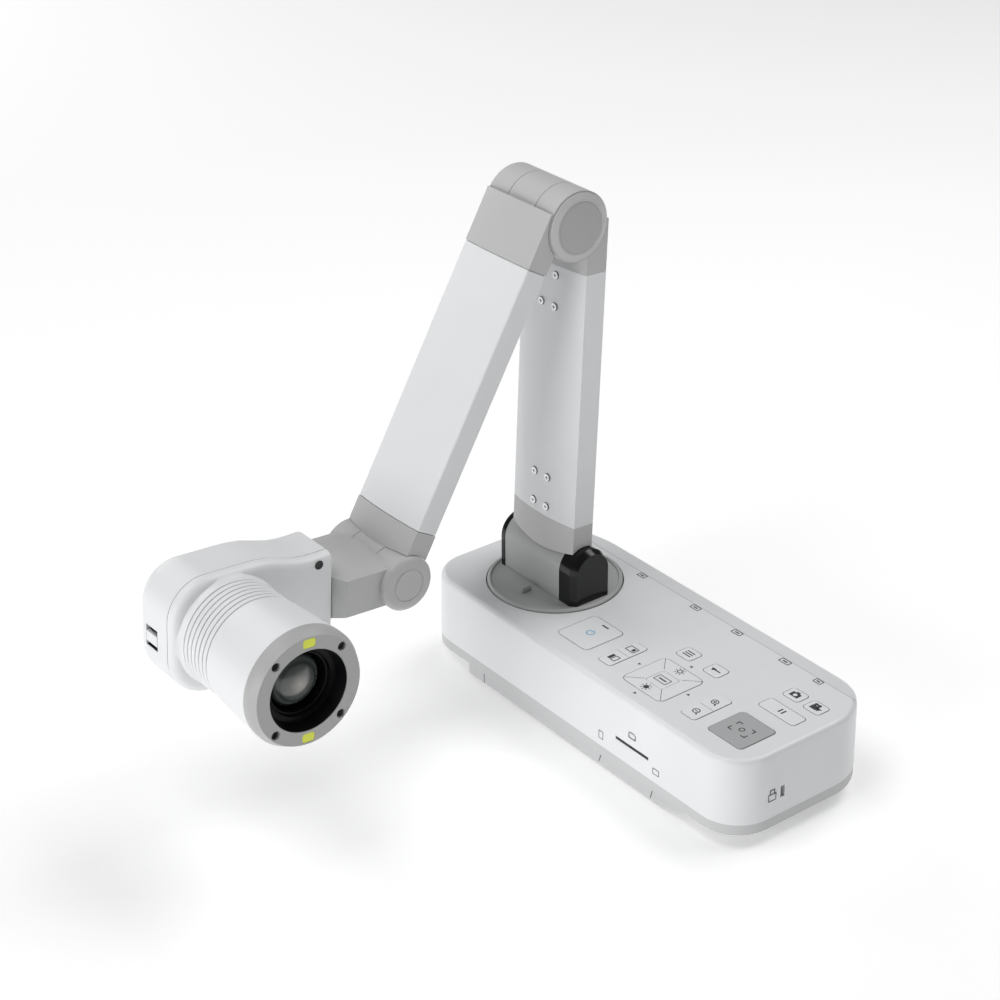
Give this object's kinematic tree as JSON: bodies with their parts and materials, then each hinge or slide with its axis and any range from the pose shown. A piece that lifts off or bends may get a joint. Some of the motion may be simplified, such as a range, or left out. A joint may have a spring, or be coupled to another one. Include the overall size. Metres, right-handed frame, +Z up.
{
  "type": "document camera",
  "caption": "Desktop document camera with a control panel base, turntable, two folding arms and a swivelling lens head, white and grey plastic.",
  "frame": {"origin": "On the table under the middle of the base; the underside of the centre foot pad.", "axes": "+Z is up, +X runs along the base from the arm end to the lock-slot end, -Y faces the user (memory card slot side)."},
  "size_m": [0.272, 0.3243, 0.307],
  "materials": {
    "white_cover": "satin",
    "white_arm": "satin",
    "grey_case": "satin",
    "grey_hinge": "satin",
    "grey_disc": "satin",
    "dark_disc": "satin",
    "white_keys": "satin",
    "black_gloss": "gloss",
    "black_matte": "matte",
    "screw_steel": "satin",
    "plated_steel": "satin",
    "blue_plastic": "satin",
    "board_green": "satin",
    "foot_rubber": "matte",
    "lamp_yellow": "satin",
    "lens_glass": "gloss"
  },
  "bodies": {
    "base": {"top_cover": "white_cover", "bottom_case": "grey_case", "ballast_plate": "plated_steel", "rubber_feet": "foot_rubber", "case_screws": "screw_steel", "main_board": "board_green", "key_board": "board_green", "sd_reader": "plated_steel", "lock_plate": "black_matte", "usb_port": "plated_steel", "hdmi_port": "plated_steel", "vga_ports": "blue_plastic", "dc_jack": "black_matte", "turn_seat": "black_matte"},
    "pan": {"turntable": "grey_disc", "turn_clamp": "plated_steel", "hinge_housing": "grey_hinge", "right_cap": "black_gloss", "left_cap": "black_gloss", "shoulder_pin": "plated_steel"},
    "lower_arm": {"lower_foot": "grey_hinge", "lower_shell": "white_arm", "lower_head": "grey_hinge", "lower_spine": "plated_steel", "elbow_cap": "dark_disc", "elbow_plug": "grey_hinge", "elbow_pin": "plated_steel", "arm_screws": "screw_steel"},
    "forearm": {"fore_head": "grey_hinge", "fore_shell": "white_arm", "fore_foot": "grey_hinge", "fore_spine": "plated_steel"},
    "wrist": {"wrist_bracket": "grey_hinge", "wrist_cap": "dark_disc", "wrist_plug": "grey_hinge", "wrist_pin": "plated_steel", "swivel_stub": "black_matte"},
    "head": {"head_back": "white_arm", "head_front": "white_arm", "head_screw": "screw_steel", "lens_ring": "grey_disc", "ring_screws": "screw_steel", "lamp_windows": "lamp_yellow", "lens_barrel": "black_matte", "lens_glass": "lens_glass", "sensor_board": "board_green"},
    "lamp_knob": {"lamp_switch": "white_keys"},
    "power_key": {"power_button": "white_keys", "status_led": "black_gloss"},
    "source_key": {"source_rocker": "white_keys"},
    "direction_key": {"direction_pad": "white_keys"},
    "enter_key": {"enter_button": "white_keys"},
    "menu_key": {"menu_button": "white_keys"},
    "esc_key": {"esc_button": "white_keys"},
    "zoom_key": {"zoom_rocker": "white_keys"},
    "focus_key": {"focus_button": "grey_disc"},
    "freeze_key": {"freeze_button": "white_keys"},
    "capture_key": {"capture_button": "white_keys"},
    "record_key": {"record_button": "white_keys"}
  },
  "joints": [
    {"name": "turntable_pan", "type": "hinge", "parent": "base", "child": "pan", "pos_m": [-0.0766, -0.003, 0.054], "axis": [0, 0, -1], "range_deg": [-90, 90]},
    {"name": "shoulder_tilt", "type": "hinge", "parent": "pan", "child": "lower_arm", "pos_m": [-0.0766, -0.004, 0.0755], "axis": [-1, 0, 0], "range_deg": [-15, 62]},
    {"name": "elbow_fold", "type": "hinge", "parent": "lower_arm", "child": "forearm", "pos_m": [-0.0766, -0.01024, 0.28703], "axis": [1, 0, 0], "range_deg": [-110, 22]},
    {"name": "wrist_tilt", "type": "hinge", "parent": "forearm", "child": "wrist", "pos_m": [-0.0766, -0.12871, 0.11063], "axis": [1, 0, 0], "range_deg": [-14, 35]},
    {"name": "head_turn", "type": "hinge", "parent": "wrist", "child": "head", "pos_m": [-0.0766, -0.17262, 0.11355], "axis": [0, 0.9978, -0.0663], "range_deg": [0, 180]},
    {"name": "lamp_slide", "type": "slide", "parent": "head", "child": "lamp_knob", "axis": [0, 0.0663, 0.9978], "range_m": [-0.002, 0.003]},
    {"name": "source_key_rock", "type": "hinge", "parent": "base", "child": "source_key", "pos_m": [0.0123, -0.026, 0.052], "axis": [1, 0, 0], "range_deg": [-2, 2], "stiffness_Nm_per_rad": 0.15},
    {"name": "zoom_key_rock", "type": "hinge", "parent": "base", "child": "zoom_key", "pos_m": [0.0811, -0.0256, 0.052], "axis": [1, 0, 0], "range_deg": [-2, 2], "stiffness_Nm_per_rad": 0.15},
    {"name": "power_key_press", "type": "slide", "parent": "base", "child": "power_key", "axis": [0, 0, -1], "range_m": [0, 0.0008], "stiffness_N_per_m": 400, "springref_m": -0.0002},
    {"name": "direction_key_press", "type": "slide", "parent": "base", "child": "direction_key", "axis": [0, 0, -1], "range_m": [0, 0.0008], "stiffness_N_per_m": 400, "springref_m": -0.0002},
    {"name": "enter_key_press", "type": "slide", "parent": "base", "child": "enter_key", "axis": [0, 0, -1], "range_m": [0, 0.0008], "stiffness_N_per_m": 400, "springref_m": -0.0002},
    {"name": "menu_key_press", "type": "slide", "parent": "base", "child": "menu_key", "axis": [0, 0, -1], "range_m": [0, 0.0008], "stiffness_N_per_m": 400, "springref_m": -0.0002},
    {"name": "esc_key_press", "type": "slide", "parent": "base", "child": "esc_key", "axis": [0, 0, -1], "range_m": [0, 0.0008], "stiffness_N_per_m": 400, "springref_m": -0.0002},
    {"name": "focus_key_press", "type": "slide", "parent": "base", "child": "focus_key", "axis": [0, 0, -1], "range_m": [0, 0.0008], "stiffness_N_per_m": 400, "springref_m": -0.0002},
    {"name": "freeze_key_press", "type": "slide", "parent": "base", "child": "freeze_key", "axis": [0, 0, -1], "range_m": [0, 0.0008], "stiffness_N_per_m": 400, "springref_m": -0.0002},
    {"name": "capture_key_press", "type": "slide", "parent": "base", "child": "capture_key", "axis": [0, 0, -1], "range_m": [0, 0.0008], "stiffness_N_per_m": 400, "springref_m": -0.0002},
    {"name": "record_key_press", "type": "slide", "parent": "base", "child": "record_key", "axis": [0, 0, -1], "range_m": [0, 0.0008], "stiffness_N_per_m": 400, "springref_m": -0.0002}
  ]
}
